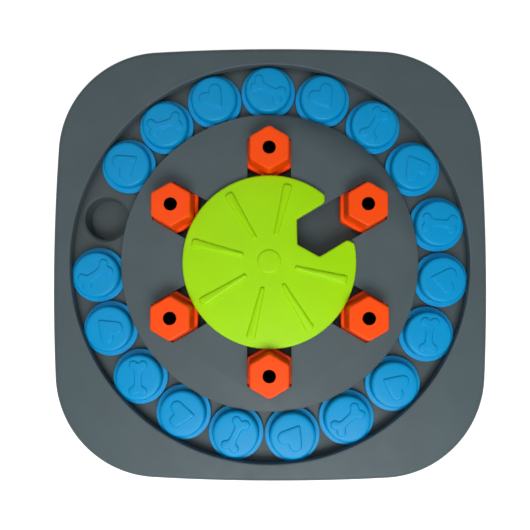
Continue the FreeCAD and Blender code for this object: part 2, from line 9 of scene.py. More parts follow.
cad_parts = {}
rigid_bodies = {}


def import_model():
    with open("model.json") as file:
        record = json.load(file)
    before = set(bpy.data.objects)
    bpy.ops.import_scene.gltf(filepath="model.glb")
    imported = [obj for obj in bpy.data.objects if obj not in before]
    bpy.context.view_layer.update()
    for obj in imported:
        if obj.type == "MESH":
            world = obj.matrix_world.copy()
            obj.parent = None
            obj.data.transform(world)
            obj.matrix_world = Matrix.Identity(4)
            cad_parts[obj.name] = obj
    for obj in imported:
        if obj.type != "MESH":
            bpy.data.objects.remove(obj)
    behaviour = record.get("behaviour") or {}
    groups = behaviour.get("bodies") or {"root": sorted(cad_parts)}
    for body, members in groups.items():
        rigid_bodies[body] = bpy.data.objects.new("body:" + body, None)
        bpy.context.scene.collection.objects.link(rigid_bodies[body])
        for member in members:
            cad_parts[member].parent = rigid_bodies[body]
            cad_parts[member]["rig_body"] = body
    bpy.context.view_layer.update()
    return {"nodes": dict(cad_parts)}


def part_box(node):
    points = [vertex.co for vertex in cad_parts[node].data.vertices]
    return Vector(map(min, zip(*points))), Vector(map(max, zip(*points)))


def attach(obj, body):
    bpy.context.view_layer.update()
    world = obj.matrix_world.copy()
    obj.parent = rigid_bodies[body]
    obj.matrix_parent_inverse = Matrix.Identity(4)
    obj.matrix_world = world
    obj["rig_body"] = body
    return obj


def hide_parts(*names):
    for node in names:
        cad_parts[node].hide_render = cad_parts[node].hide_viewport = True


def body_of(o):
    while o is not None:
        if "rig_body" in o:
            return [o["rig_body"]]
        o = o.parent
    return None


bl_info = {
    "name": "Dog puzzle feeder toy",
    "version": (1, 0, 0),
    "blender": (4, 5, 0),
    "location": "3D View > Sidebar > Feeder",
    "description": "Builds the dressed feeder board over its fixed frame, piece by piece",
    "category": "Object",
}

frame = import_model()

MM = 0.001
UP = (0.0, 0.0, 1.0)
PUCKS = [f"puck_{n:02d}" for n in range(1, 19)]
SLIDERS = [f"slider_{n}" for n in range(1, 7)]

# Edges flatter than this are shaded smooth, in degrees
SMOOTH_BELOW = 32.0
# A raised figure's upright foot, and how deep it is sunk into its surface, in millimetres
FIGURE_FOOT = 0.12
FIGURE_SINK = 0.06
# Share of the cap's radius and of the dome's rise at it
DOME_CURVE = ((0.72, 0.48), (0.5, 0.75), (0.25, 0.94), (0.0, 1.0))
# Grey of the floor's paint, and how bright the floor looks to the camera on top of it
FLOOR_PAINT = 0.5
FLOOR_GLOW = 0.85
# Roughness, grain in millimetres, strength of the grain, and how far the colour varies
FINISHES = {
    "grey": (0.42, 0.3, 0.10, 0.05),
    # The tray's finish uses the board's grey made darker, as painted shade
    "tray": (0.42, 0.3, 0.10, 0.05),
    "blue": (0.34, 0.5, 0.05, 0.04),
    "orange": (0.36, 0.5, 0.05, 0.03),
    "green": (0.38, 0.4, 0.06, 0.03),
    "rubber": (0.75, 0.4, 0.25, 0.12),
    "steel": (0.32, 0.12, 0.08, 0.04),
}

# Raised figure on each puck and the direction it points in, clockwise from the empty place
FIGURES = [
    ("heart", 32), ("bone", 17), ("heart", -49), ("bone", -28), ("heart", -58), ("bone", 58),
    ("heart", 120), ("bone", -5), ("heart", 168), ("bone", 85), ("heart", 154), ("bone", 42),
    ("heart", 58), ("bone", 65), ("heart", -4), ("bone", 90), ("heart", 137), ("bone", 35),
]


def length(name, millimetres, description):
    """A size that shows as a length in the panel."""
    return FloatProperty(
        name=name, description=description, default=millimetres * MM, min=0.0, precision=4, unit="LENGTH"
    )


def colour(name, red, green, blue, description):
    """A colour of a moulding, as linear light."""
    return FloatVectorProperty(
        name=name, description=description, default=(red, green, blue), size=3, min=0.0, max=1.0,
        subtype="COLOR",
    )


class PuckSizes(bpy.types.PropertyGroup):
    """Round pucks that slide in the ring channel."""

    flange_radius: length("Flange radius", 19.05, "Radius of the rim that the board's lips hold down")
    flange_height: length("Flange height", 3.0, "Thickness of the rim")
    cap_radius: length("Cap radius", 15.7, "Radius of the cap just below its rounded edge")
    cap_draft: length("Cap draft", 0.3, "How much wider the cap is at its foot")
    edge: length("Cap edge", 2.0, "Size of the cap's rounded edge")
    wall: length("Wall", 1.9, "Thickness of the cap's top")
    dome: length("Dome", 0.35, "Rise of the cap's top towards its middle")
    relief: length("Figure height", 1.0, "How far the heart or bone stands up")
    relief_edge: length("Figure edge", 1.15, "Width of the figure's soft edge")


class SliderSizes(bpy.types.PropertyGroup):
    """Six-sided sliders with a sniffing hole."""

    knob_flats: length("Knob width", 28.2, "Width across the knob's flats at its foot")
    knob_top_flats: length("Knob top width", 26.7, "Width across the knob's flats at its top")
    knob_edge: length("Knob edge", 1.3, "Size of the rounding round the knob's top")
    hole_radius: length("Hole radius", 4.0, "Radius of the sniffing hole")
    tier_flats: length("Tier width", 28.5, "Width across the flats of the step in the slot")
    skirt_flats: length("Skirt width", 33.0, "Width across the flats of the shoe under the plate")
    corner: length("Corner", 1.8, "Rounding of the six upright corners")
    wall: length("Wall", 2.0, "Thickness of the walls")
    collar_flats: length("Collar width", 24.8, "Width across the flats of the collar in the shoe")


class WheelSizes(bpy.types.PropertyGroup):
    """Notched wheel that locks the sliders."""

    radius: length("Radius", 60.0, "Radius of the rim")
    rim_height: length("Rim height", 3.2, "Height of the rim")
    crown: length("Crown", 3.2, "Rise of the top from the rim to the middle")
    edge: length("Edge", 1.2, "Rounding round the top")
    notch_flats: length("Notch width", 30.0, "Width of the notch")
    notch_from_rim: length("Notch depth", 20.1, "From the rim to the middle of the notch's six-sided end")
    straight_from_rim: length("Flare depth", 6.0, "From the rim to where the notch flares out")
    hub_radius: length("Hub radius", 8.1, "Radius of the button in the middle")
    hub_rise: length("Hub rise", 1.0, "Height of the button")
    rib_rise: length("Rib rise", 1.5, "Height of the ribs")
    rib_start: length("Rib start", 18.0, "Where the ribs start, from the middle")
    rib_end: length("Rib end", 55.0, "Where the ribs end, from the middle")
    rib_start_width: length("Rib start width", 3.2, "Width of a rib near the hub")
    rib_end_width: length("Rib end width", 6.8, "Width of a rib near the rim")
    rim_wall: length("Rim wall", 3.0, "Thickness of the rim")
    shell: length("Shell", 2.6, "Thickness of the crowned top")
    notch_degrees: FloatProperty(
        name="Notch direction", description="Where the notch points, in degrees", default=31.2
    )
    rib_count: IntProperty(
        name="Ribs", description="Ribs, one every eighth of a turn from the notch", default=7
    )


class CoverSizes(bpy.types.PropertyGroup):
    """Square cover with the round opening."""

    corner_radius: length("Corner radius", 72.0, "Radius of the board's corners")
    bow_radius: length("Side bow", 1450.0, "Radius of the sides' slight outward bow")
    edge: length("Edge", 3.5, "Rounding round the top")
    opening_radius: length("Opening radius", 137.99, "Radius of the round opening")
    opening_edge: length("Opening edge", 1.0, "Rounding of the opening's edge")
    lip_width: length("Lip width", 4.5, "Width of the lip that holds the pucks down")
    lip_bottom: length("Lip underside", 21.2, "Height of the lip's underside above the ground")
    top_thickness: length("Top thickness", 2.6, "Thickness of the cover's top")
    wall: length("Wall", 2.4, "Thickness of the sides")


class ToyColours(bpy.types.PropertyGroup):
    """Colours of the mouldings."""

    grey: colour("Grey", 0.072, 0.100, 0.110, "Board, plate and tray")
    # Tray grey: the board's grey made darker, as painted shade for the channel floor and wells under the
    # pucks
    tray: colour("Tray grey", 0.060, 0.078, 0.083, "Tray under the board")
    blue: colour("Blue", 0.0, 0.285, 0.60, "Pucks")
    orange: colour("Orange", 1.0, 0.075, 0.0, "Sliders")
    green: colour("Green", 0.35, 0.72, 0.0, "Wheel")
    rubber: colour("Rubber", 0.03, 0.03, 0.032, "Feet")
    steel: colour("Steel", 0.62, 0.62, 0.60, "Screws and washer")


class StudioSettings(bpy.types.PropertyGroup):
    """Camera and lamps."""

    camera_height: length("Camera height", 400.0, "Height of the camera above the ground")
    lens: FloatProperty(
        name="Lens", description="Focal length in millimetres on a 36 mm sensor", default=36.79
    )
    front_power: FloatProperty(
        name="Front lamp", description="Power of the lamp at the picture's bottom", default=4.7, unit="POWER"
    )
    top_power: FloatProperty(
        name="Top lamp", description="Power of the lamp overhead", default=2.9, unit="POWER"
    )
    ambient: FloatProperty(
        name="Room light", description="Strength of the light from all round", default=0.2, min=0.0
    )


def mm(value):
    """A panel length in millimetres."""
    return value / MM


def middle(node):
    """Middle of a node of the frame, in millimetres."""
    low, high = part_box(node)
    return Vector(((low[0] + high[0]) / 2, (low[1] + high[1]) / 2, (low[2] + high[2]) / 2)) / MM


def heights(node):
    """Lowest and highest point of a node of the frame, in millimetres."""
    low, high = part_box(node)
    return low[2] / MM, high[2] / MM


def bend_corners(bm, corners, segments):
    """Rounds vertices: corners is a list of (vertex, how far along its edges the round reaches)."""
    for vertex, reach in corners:
        bmesh.ops.bevel(
            bm, geom=[vertex], offset=reach, offset_type="OFFSET", segments=segments, profile=0.5,
            affect="VERTICES", material=-1,
        )


def turn_profile(bm, profile, steps):
    """Turns a profile of (radius, height, rounding) about the upright axis into a closed skin."""
    part = bmesh.new()
    vertices = [part.verts.new((radius, 0.0, height)) for radius, height, _ in profile]
    for first, second in zip(vertices, vertices[1:]):
        part.edges.new((first, second))
    bend_corners(part, [(v, reach) for v, (_, _, reach) in zip(vertices, profile) if reach > 0], 5)
    bmesh.ops.spin(
        part, geom=part.verts[:] + part.edges[:], cent=(0, 0, 0), axis=UP, dvec=(0, 0, 0),
        angle=2 * math.pi, steps=steps, use_merge=True,
    )
    close_up(part)
    add_to(bm, part)


def turn_by(bm, degrees):
    """Turns a skin about the upright axis."""
    turn = Matrix.Rotation(math.radians(degrees), 3, "Z")
    bmesh.ops.rotate(bm, cent=(0, 0, 0), matrix=turn, verts=bm.verts[:])


def close_up(bm):
    """Merges what lies on top of itself and turns all faces outwards."""
    bmesh.ops.remove_doubles(bm, verts=bm.verts[:], dist=1e-4)
    bmesh.ops.recalc_face_normals(bm, faces=bm.faces[:])


def add_to(bm, part):
    """Adds one modelled piece of skin to another and frees it."""
    mesh = bpy.data.meshes.new("part")
    part.to_mesh(mesh)
    part.free()
    bm.from_mesh(mesh)
    bpy.data.meshes.remove(mesh)


def edges_within(vertices):
    """Edges whose two ends are both among these vertices."""
    held = set(vertices)
    return list({
        edge for vertex in held for edge in vertex.link_edges
        if edge.verts[0] in held and edge.verts[1] in held
    })


def add_row(bm, part):
    """Adds a row of edges modelled on its own, and gives back its edges."""
    before = set(bm.verts)
    add_to(bm, part)
    return edges_within([vertex for vertex in bm.verts if vertex not in before])


def faces_in(geometry):
    """The faces among what an operator gives back."""
    return [item for item in geometry if isinstance(item, bmesh.types.BMFace)]


def circle_row(bm, radius, height, steps):
    """Level circle of edges."""
    place = Matrix.Translation((0, 0, height))
    made = bmesh.ops.create_circle(bm, cap_ends=False, radius=radius, segments=steps, matrix=place)
    return edges_within(made["verts"])


def hexagon_row(bm, flats, height, corner):
    """Level hexagon of 48 edges with rounded corners, one of them pointing along Y."""
    part = bmesh.new()
    bmesh.ops.create_circle(part, cap_ends=False, radius=flats / math.sqrt(3), segments=6)
    bmesh.ops.bevel(
        part, geom=part.verts[:], offset=corner, offset_type="OFFSET", segments=4, profile=0.5,
        affect="VERTICES", material=-1,
    )
    sides = [edge for edge in part.edges if edge.calc_length() > corner]
    bmesh.ops.subdivide_edges(part, edges=sides, cuts=3)
    bmesh.ops.translate(part, vec=(0, 0, height), verts=part.verts[:])
    return add_row(bm, part)


def put_outward(bm, centre):
    """Moves a slider's skin from the origin to its place, its Y direction pointing away from the wheel."""
    turn = Matrix.Rotation(math.atan2(centre.y, centre.x) - math.pi / 2, 4, "Z")
    place = Matrix.Translation((centre.x, centre.y, 0)) @ turn
    bmesh.ops.transform(bm, matrix=place, verts=bm.verts[:])


def join_rows(bm, rows):
    """Skins a list of level rows, each to the next and the last to the first."""
    for first, second in zip(rows, rows[1:] + rows[:1]):
        bmesh.ops.bridge_loops(bm, edges=first + second)


def quarter_round(size, steps=4):
    """(inset, drop) pairs of a rounded edge, from its upright side to its level side."""
    angles = [math.pi / 2 * k / steps for k in range(steps + 1)]
    return [(size * (1 - math.cos(a)), size * (1 - math.sin(a))) for a in angles]


def cut_in_grid(bm, faces, pitch, low, high):
    """Cuts faces into a square grid, so that they can follow a curve."""
    held = list(faces)
    for axis in ((1, 0, 0), (0, 1, 0)):
        step = 0
        while low + step * pitch <= high:
            at = [x * (low + step * pitch) for x in axis]
            edges = {edge for face in held for edge in face.edges}
            vertices = {vertex for face in held for vertex in face.verts}
            done = bmesh.ops.bisect_plane(
                bm, geom=held + list(edges) + list(vertices), dist=1e-5, plane_co=at, plane_no=axis,
            )
            kept = {item for item in done["geom"] if isinstance(item, bmesh.types.BMFace)}
            held = [face for face in kept if face.is_valid]
            step += 1
    return held


def soft_steps(rise, width, steps=6):
    """(inset, lift) steps of an edge that rises in a soft S."""
    share = [k / steps for k in range(steps + 1)]
    height = [rise * t * t * (3 - 2 * t) for t in share]
    return [(width / steps, b - a) for a, b in zip(height, height[1:])]


def round_steps(rise, width, steps=6):
    """(inset, lift) steps of an edge that rises steeply and rounds over to a flat top."""
    turns = [math.pi / 2 * k / steps for k in range(steps + 1)]
    return [
        (width * (math.cos(a) - math.cos(b)), rise * (math.sin(b) - math.sin(a)))
        for a, b in zip(turns, turns[1:])
    ]


def raise_figure(outline, steps, pitch, surface):
    """Closed raised figure over an outline face, with a soft edge, sunk into a curved surface."""
    face = outline.faces[:][0]
    if face.normal.z < 0:
        bmesh.ops.reverse_faces(outline, faces=[face])
    top = faces_in(bmesh.ops.extrude_face_region(outline, geom=[face])["geom"])[0]
    bmesh.ops.translate(outline, vec=(0, 0, FIGURE_FOOT), verts=top.verts[:])
    for inset, lift in steps:
        bmesh.ops.inset_region(outline, faces=[top], thickness=inset, depth=lift, use_even_offset=True)
    reach = max(max(abs(v.co.x), abs(v.co.y)) for v in outline.verts)
    cut_in_grid(outline, [top], pitch, -reach, reach)
    for vertex in outline.verts:
        vertex.co.z += surface(vertex.co.x, vertex.co.y) - FIGURE_SINK - FIGURE_FOOT
    close_up(outline)


def arc(centre_x, centre_y, radius, start, end, steps):
    """Points along an arc, in degrees."""
    turns = [math.radians(start + (end - start) * k / steps) for k in range(steps + 1)]
    return [(centre_x + radius * math.cos(t), centre_y + radius * math.sin(t)) for t in turns]


def half_heart():
    """Right half of a heart that points down, from the cleft to the tip: a lobe, a side and a round tip."""
    across, up, lobe, tip_y, tip = 4.6, 3.7, 4.9, -7.2, 1.8
    reach = math.hypot(across, up - tip_y)
    side = math.degrees(math.atan2(up - tip_y, across) - math.acos((tip - lobe) / reach))
    cleft = math.degrees(math.acos(-across / lobe))
    return arc(across, up, lobe, cleft - 4, side, 16) + arc(0, tip_y, tip, side, -90, 5)


def quarter_bone():
    """Quarter of a bone that lies along X, from the middle of its shaft to the middle of its end."""
    across, up, lobe, shaft = 8.9, 3.3, 3.6, 2.9
    start = 180 + math.degrees(math.asin((up - shaft) / lobe))
    end = -math.degrees(math.asin(up / lobe))
    knob = arc(across, up, lobe, start, end + 5, 14)
    return [(0.0, shaft), (2.6, shaft)] + knob


def figure_outline(kind):
    """Flat face with the outline of a heart or a bone, pointing along X."""
    bm = bmesh.new()
    points = half_heart() if kind == "heart" else quarter_bone()
    for x, y in points:
        bm.verts.new((x, y, 0.0))
    chain = bm.verts[:]
    for first, second in zip(chain, chain[1:]):
        bm.edges.new((first, second))
    bmesh.ops.mirror(bm, geom=bm.verts[:] + bm.edges[:], axis="X", merge_dist=1e-3)
    if kind == "bone":
        bmesh.ops.mirror(bm, geom=bm.verts[:] + bm.edges[:], axis="Y", merge_dist=1e-3)
    bmesh.ops.remove_doubles(bm, verts=bm.verts[:], dist=1e-3)
    ends = [vertex for vertex in bm.verts if len(vertex.link_edges) == 1]
    if kind == "heart":
        bm.edges.new(ends)
    else:
        for side in (-1, 1):
            bm.edges.new([vertex for vertex in ends if vertex.co.x * side > 0])
    for _ in range(2):
        bmesh.ops.smooth_vert(
            bm, verts=bm.verts[:], factor=0.35, use_axis_x=True, use_axis_y=True, use_axis_z=True
        )
    bmesh.ops.contextual_create(bm, geom=bm.edges[:])
    if kind == "heart":
        turn_by(bm, 90)
    return bm


def noise(nodes, links, where, scale, detail):
    """Noise over the piece's own coordinates."""
    made = nodes.new("ShaderNodeTexNoise")
    made.inputs["Scale"].default_value = scale
    made.inputs["Detail"].default_value = detail
    links.new(where.outputs["Object"], made.inputs["Vector"])
    return made


def plastic(name, tint, roughness, grain, bump, shade):
    """Moulded plastic: a fine skin on the surface, and a roughness and a colour that vary a little."""
    material = bpy.data.materials.new(name)
    material.use_nodes = True
    nodes, links = material.node_tree.nodes, material.node_tree.links
    shader = nodes["Principled BSDF"]
    shader.inputs["IOR"].default_value = 1.49
    shader.inputs["Specular IOR Level"].default_value = 0.15
    where = nodes.new("ShaderNodeTexCoord")
    cloud = noise(nodes, links, where, 38.0, 3.0)
    tones = nodes.new("ShaderNodeValToRGB")
    tones.color_ramp.elements[0].position = 0.3
    tones.color_ramp.elements[1].position = 0.7
    tones.color_ramp.elements[0].color = tuple(c * (1 - shade) for c in tint) + (1.0,)
    tones.color_ramp.elements[1].color = tuple(min(1.0, c * (1 + shade)) for c in tint) + (1.0,)
    links.new(cloud.outputs["Fac"], tones.inputs["Fac"])
    links.new(tones.outputs["Color"], shader.inputs["Base Color"])
    skin = noise(nodes, links, where, 1000.0 / grain, 2.0)
    smear = noise(nodes, links, where, 120.0, 4.0)
    rough = nodes.new("ShaderNodeMapRange")
    rough.inputs["From Min"].default_value = 0.3
    rough.inputs["From Max"].default_value = 0.7
    rough.inputs["To Min"].default_value = roughness * 0.88
    rough.inputs["To Max"].default_value = roughness * 1.12
    links.new(smear.outputs["Fac"], rough.inputs["Value"])
    links.new(rough.outputs["Result"], shader.inputs["Roughness"])
    relief = nodes.new("ShaderNodeBump")
    relief.inputs["Strength"].default_value = bump
    relief.inputs["Distance"].default_value = 0.0002
    links.new(skin.outputs["Fac"], relief.inputs["Height"])
    links.new(relief.outputs["Normal"], shader.inputs["Normal"])
    return material


def finish_of(key):
    """The finish with this name, made once from the panel's colours."""
    found = bpy.data.materials.get(key)
    if found:
        return found
    tint = tuple(getattr(bpy.context.scene.feeder_colours, key))
    material = plastic(key, tint, *FINISHES[key])
    if key == "steel":
        material.node_tree.nodes["Principled BSDF"].inputs["Metallic"].default_value = 1.0
    return material


def set_piece(name, bm, finish, body, nodes):
    """Makes the object from a skin in millimetres, ties it to its body and hides the nodes of the frame that
    it stands in for.
    """
    bmesh.ops.scale(bm, vec=(MM, MM, MM), verts=bm.verts[:])
    mesh = bpy.data.meshes.new(name)
    bm.to_mesh(mesh)
    bm.free()
    for polygon in mesh.polygons:
        polygon.use_smooth = True
    mesh.set_sharp_from_angle(angle=math.radians(SMOOTH_BELOW))
    mesh.materials.append(finish_of(finish))
    piece = bpy.data.objects.new(name, mesh)
    bpy.context.scene.collection.objects.link(piece)
    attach(piece, body)
    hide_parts(*nodes)
    return piece


def soften_node(name, node, finish, width):
    """Copy of a node of the frame, its flat faces made whole and its edges given a small round."""
    bm = bmesh.new()
    bm.from_mesh(frame["nodes"][node].data)
    bmesh.ops.scale(bm, vec=(1 / MM, 1 / MM, 1 / MM), verts=bm.verts[:])
    bmesh.ops.remove_doubles(bm, verts=bm.verts[:], dist=1e-3)
    bmesh.ops.dissolve_limit(bm, angle_limit=math.radians(0.5), verts=bm.verts[:], edges=bm.edges[:])
    piece = set_piece(name, bm, finish, body_of(frame["nodes"][node])[0], [node])
    edge = piece.modifiers.new("Soft edges", "BEVEL")
    edge.width = width * MM
    edge.segments = 3
    edge.limit_method = "ANGLE"
    edge.angle_limit = math.radians(40)
    edge.use_clamp_overlap = True
    edge.harden_normals = True
    return piece


class FEEDER_OT_pucks(bpy.types.Operator):
    """Make the round pucks with their raised hearts and bones."""

    bl_idname = "feeder.pucks"
    bl_label = "Pucks"

    def execute(self, context):
        s = context.scene.feeder_puck
        for node, (kind, degrees) in zip(PUCKS, FIGURES):
            centre = middle(node)
            bottom, top = heights(node)
            shoulder = bottom + mm(s.flange_height)
            inside = mm(s.cap_radius - s.wall)
            cap, dome = mm(s.cap_radius), mm(s.dome)
            ceiling = top - mm(s.wall)
            bm = bmesh.new()
            turn_profile(
                bm,
                [
                    (0.0, ceiling, 0.0),
                    (inside, ceiling, 0.8),
                    (inside, bottom, 0.3),
                    (mm(s.flange_radius), bottom, 0.4),
                    (mm(s.flange_radius), shoulder, 0.6),
                    (cap + mm(s.cap_draft), shoulder, 0.5),
                    (cap, top, mm(s.edge)),
                    *[(cap * out, top + dome * up, 0.0) for out, up in DOME_CURVE],
                ],
                96,
            )
            figure = figure_outline(kind)
            raise_figure(
                figure, soft_steps(mm(s.relief), mm(s.relief_edge)), 2.0,
                lambda x, y: top + dome * (1 - (x * x + y * y) / cap**2),
            )
            turn_by(figure, degrees)
            add_to(bm, figure)
            bmesh.ops.translate(bm, vec=(centre.x, centre.y, 0), verts=bm.verts[:])
            set_piece(f"{node}_cap", bm, "blue", node, [node])
        return {"FINISHED"}


class FEEDER_OT_sliders(bpy.types.Operator):
    """Make the six-sided knobs and the shoes that they are pressed into."""

    bl_idname = "feeder.sliders"
    bl_label = "Sliders"

    def knob(self, s, node):
        """A drafted, hollow knob with a round hole in its top."""
        centre = middle(node)
        bottom, top = heights(node)
        _, seat = heights(node.replace("slider_", "slider_shoe_"))
        wide, narrow, edge = mm(s.knob_flats), mm(s.knob_top_flats), mm(s.knob_edge)
        corner, hole, collar = mm(s.corner), mm(s.hole_radius), mm(s.collar_flats)
        ceiling, inside = top - mm(s.wall), collar - 2 * mm(s.wall)
        foot_inset, foot_rise, level_band, hole_ring, hole_edge = 0.4, 0.25, 0.8, 0.9, 0.5
        bm = bmesh.new()

        def hexagon(flats, height):
            return hexagon_row(bm, flats, height, corner * flats / wide)

        rows = [hexagon(collar, seat), hexagon(wide - foot_inset, seat), hexagon(wide, seat + foot_rise)]
        rows += [hexagon(narrow - 2 * inset, top - drop) for inset, drop in quarter_round(edge, 5)]
        rows.append(hexagon(narrow - 2 * edge - level_band, top))
        rows.append(circle_row(bm, hole + hole_ring, top, 48))
        rows += [
            circle_row(bm, hole + inset, top - drop, 48)
            for inset, drop in reversed(quarter_round(hole_edge, 4))
        ]
        rows.append(circle_row(bm, hole, ceiling, 48))
        rows += [hexagon(inside, ceiling), hexagon(inside, bottom), hexagon(collar, bottom)]
        join_rows(bm, rows)
        close_up(bm)
        put_outward(bm, centre)
        set_piece(f"{node}_knob", bm, "orange", node, [node])

    def shoe(self, s, node):
        """A shoe with a wide skirt, a step and a floor with a small hole."""
        centre = middle(node)
        bottom, top = heights(node)
        body = node.replace("slider_shoe_", "slider_")
        skirt, tier, corner, wall = mm(s.skirt_flats), mm(s.tier_flats), mm(s.corner), mm(s.wall)
        tier_rise, play, floor_hole = 3.6, 0.2, 2.0
        skirt_top = top - tier_rise
        seat = mm(s.collar_flats) + play
        bm = bmesh.new()

        def hexagon(flats, height):
            return hexagon_row(bm, flats, height, corner * flats / skirt)

        rows = [hexagon(skirt - 0.6, bottom), hexagon(skirt, bottom + 0.3)]
        rows += [hexagon(skirt - 2 * inset, skirt_top - drop) for inset, drop in quarter_round(0.5, 3)]
        rows += [hexagon(tier + 0.2, skirt_top), hexagon(tier, skirt_top + 0.2)]
        rows += [hexagon(tier - 2 * inset, top - drop) for inset, drop in quarter_round(0.7, 4)]
        rows += [hexagon(seat, top), hexagon(seat, skirt_top - wall)]
        rows += [hexagon(skirt - 2 * wall, skirt_top - wall), hexagon(skirt - 2 * wall, bottom + wall)]
        rows += [circle_row(bm, floor_hole, height, 48) for height in (bottom + wall, bottom)]
        join_rows(bm, rows)
        close_up(bm)
        put_outward(bm, centre)
        set_piece(f"{node}_body", bm, "orange", body, [node])

    def execute(self, context):
        s = context.scene.feeder_slider
        for node in SLIDERS:
            self.knob(s, node)
            self.shoe(s, node.replace("slider_", "slider_shoe_"))
        return {"FINISHED"}


class FEEDER_OT_wheel(bpy.types.Operator):
    """Make the crowned wheel with its notch, ribs and hub button."""

    bl_idname = "feeder.wheel"
    bl_label = "Wheel"

    def outline(self, s):
        """Flat face of the wheel, with its rounded six-sided notch along X."""
        radius, half = mm(s.radius), mm(s.notch_flats) / 2
        corner = 2 * half / math.sqrt(3)
        inner = radius - mm(s.notch_from_rim)
        flare = radius - mm(s.straight_from_rim)
        slope = math.tan(math.radians(60))
        low, high = flare, radius
        for _ in range(40):
            x = (low + high) / 2
            low, high = (x, high) if math.hypot(x, half + (x - flare) * slope) < radius else (low, x)
        side = [(inner - corner / 2, half), (flare, half), (low, half + (low - flare) * slope)]
        bm = bmesh.new()
        points = [(x, -y) for x, y in reversed(side)] + [(inner - corner, 0.0)] + side
        opening = math.atan2(side[-1][1], side[-1][0])
        lead = 0.05
        rim = [(radius * math.cos(t), radius * math.sin(t)) for t in (opening + lead, -opening - lead)]
        chain = [bm.verts.new((x, y, 0.0)) for x, y in [rim[1]] + points + [rim[0]]]
        for first, second in zip(chain, chain[1:]):
            bm.edges.new((first, second))
        reaches = [1.2, 2.0, 1.0, 1.0, 1.0, 2.0, 1.2]
        last = chain[-1]
        bend_corners(bm, list(zip(chain[1:-1], reaches)), 4)
        bmesh.ops.spin(
            bm, geom=[last], cent=(0, 0, 0), axis=UP, dvec=(0, 0, 0),
            angle=2 * math.pi - 2 * (opening + lead), steps=170, use_merge=False,
        )
        bmesh.ops.remove_doubles(bm, verts=bm.verts[:], dist=1e-3)
        bmesh.ops.contextual_create(bm, geom=bm.edges[:])
        return bm

    def rib(self, s, crown_over):
        """One raised rib along X, wider near the rim, with rounded corners."""
        start, end = mm(s.rib_start), mm(s.rib_end)
        narrow, wide = mm(s.rib_start_width) / 2, mm(s.rib_end_width) / 2
        bm = bmesh.new()
        corners = [(start, -narrow), (end, -wide), (end, wide), (start, narrow)]
        chain = [bm.verts.new((x, y, 0.0)) for x, y in corners]
        for first, second in zip(chain, chain[1:] + chain[:1]):
            bm.edges.new((first, second))
        bend_corners(bm, list(zip(chain, [narrow * 0.9, wide * 0.7, wide * 0.7, narrow * 0.9])), 6)
        bmesh.ops.contextual_create(bm, geom=bm.edges[:])
        raise_figure(bm, round_steps(mm(s.rib_rise), narrow * 0.9), 4.0, crown_over)
        return bm

    def execute(self, context):
        s = context.scene.feeder_wheel
        bottom, _ = heights("wheel")
        radius, crown, edge = mm(s.radius), mm(s.crown), mm(s.edge)
        sphere = (radius**2 + crown**2) / (2 * crown)
        rim_top = bottom + mm(s.rim_height)

        def rise(x, y):
            return math.sqrt(sphere**2 - min(x * x + y * y, radius**2)) - (sphere - crown)

        bm = self.outline(s)
        face = bm.faces[:][0]
        if face.normal.z < 0:
            bmesh.ops.reverse_faces(bm, faces=[face])
        top = faces_in(bmesh.ops.extrude_face_region(bm, geom=[face])["geom"])[0]
        bmesh.ops.reverse_faces(bm, faces=[face])
        bmesh.ops.translate(bm, vec=(0, 0, bottom), verts=bm.verts[:])
        bmesh.ops.translate(bm, vec=(0, 0, mm(s.rim_height) - edge), verts=top.verts[:])
        steps = quarter_round(edge, 5)
        for (inset, drop), (next_inset, next_drop) in zip(steps, steps[1:]):
            bmesh.ops.inset_region(
                bm, faces=[top], thickness=next_inset - inset, depth=drop - next_drop, use_even_offset=True
            )
        bmesh.ops.inset_region(bm, faces=[top], thickness=0.5, depth=0.0, use_even_offset=True)
        cut_in_grid(bm, [top], 4.0, -radius, radius)
        under = [f for f in bm.faces if all(abs(v.co.z - bottom) < 1e-4 for v in f.verts)]
        bmesh.ops.inset_region(bm, faces=under, thickness=mm(s.rim_wall), depth=0.0, use_even_offset=True)
        ceiling = faces_in(bmesh.ops.extrude_face_region(bm, geom=under)["geom"])
        bmesh.ops.delete(bm, geom=under, context="FACES_ONLY")
        bmesh.ops.translate(
            bm, vec=(0, 0, mm(s.rim_height - s.shell)), verts=list({v for f in ceiling for v in f.verts})
        )
        cut_in_grid(bm, ceiling, 6.0, -radius, radius)
        for vertex in bm.verts:
            if vertex.co.z > bottom + 1e-3:
                vertex.co.z += rise(vertex.co.x, vertex.co.y)
        close_up(bm)

        def crown_over(x, y):
            return rim_top + rise(x, y)

        for number in range(1, s.rib_count + 1):
            rib = self.rib(s, crown_over)
            turn_by(rib, 45 * number)
            add_to(bm, rib)
        hub_top = rim_top + crown + mm(s.hub_rise)
        hub = mm(s.hub_radius)
        turn_profile(
            bm,
            [
                (0.0, rim_top + 1.0, 0.0), (hub, rim_top + 1.0, 0.0),
                (hub, hub_top - mm(s.hub_rise), 0.0),
                (hub - 0.15, hub_top - 0.5, 0.3), (hub - 1.0, hub_top - 0.1, 0.9),
                (hub * 0.4, hub_top, 1.0), (0.0, hub_top, 0.0),
            ],
            64,
        )
        bore, boss, bore_end, boss_end = 6.05, 14.0, bottom + 3.3, rim_top + 1.5
        turn_profile(
            bm,
            [
                (bore, bore_end, 0.0), (bore, bottom, 0.3), (boss, bottom, 0.4), (boss, boss_end, 0.0),
                (0.0, boss_end, 0.0), (0.0, bore_end, 0.0), (bore, bore_end, 0.0),
            ],
            64,
        )
        turn_by(bm, s.notch_degrees)
        set_piece("wheel_disc", bm, "green", "wheel", ["wheel"])
        return {"FINISHED"}


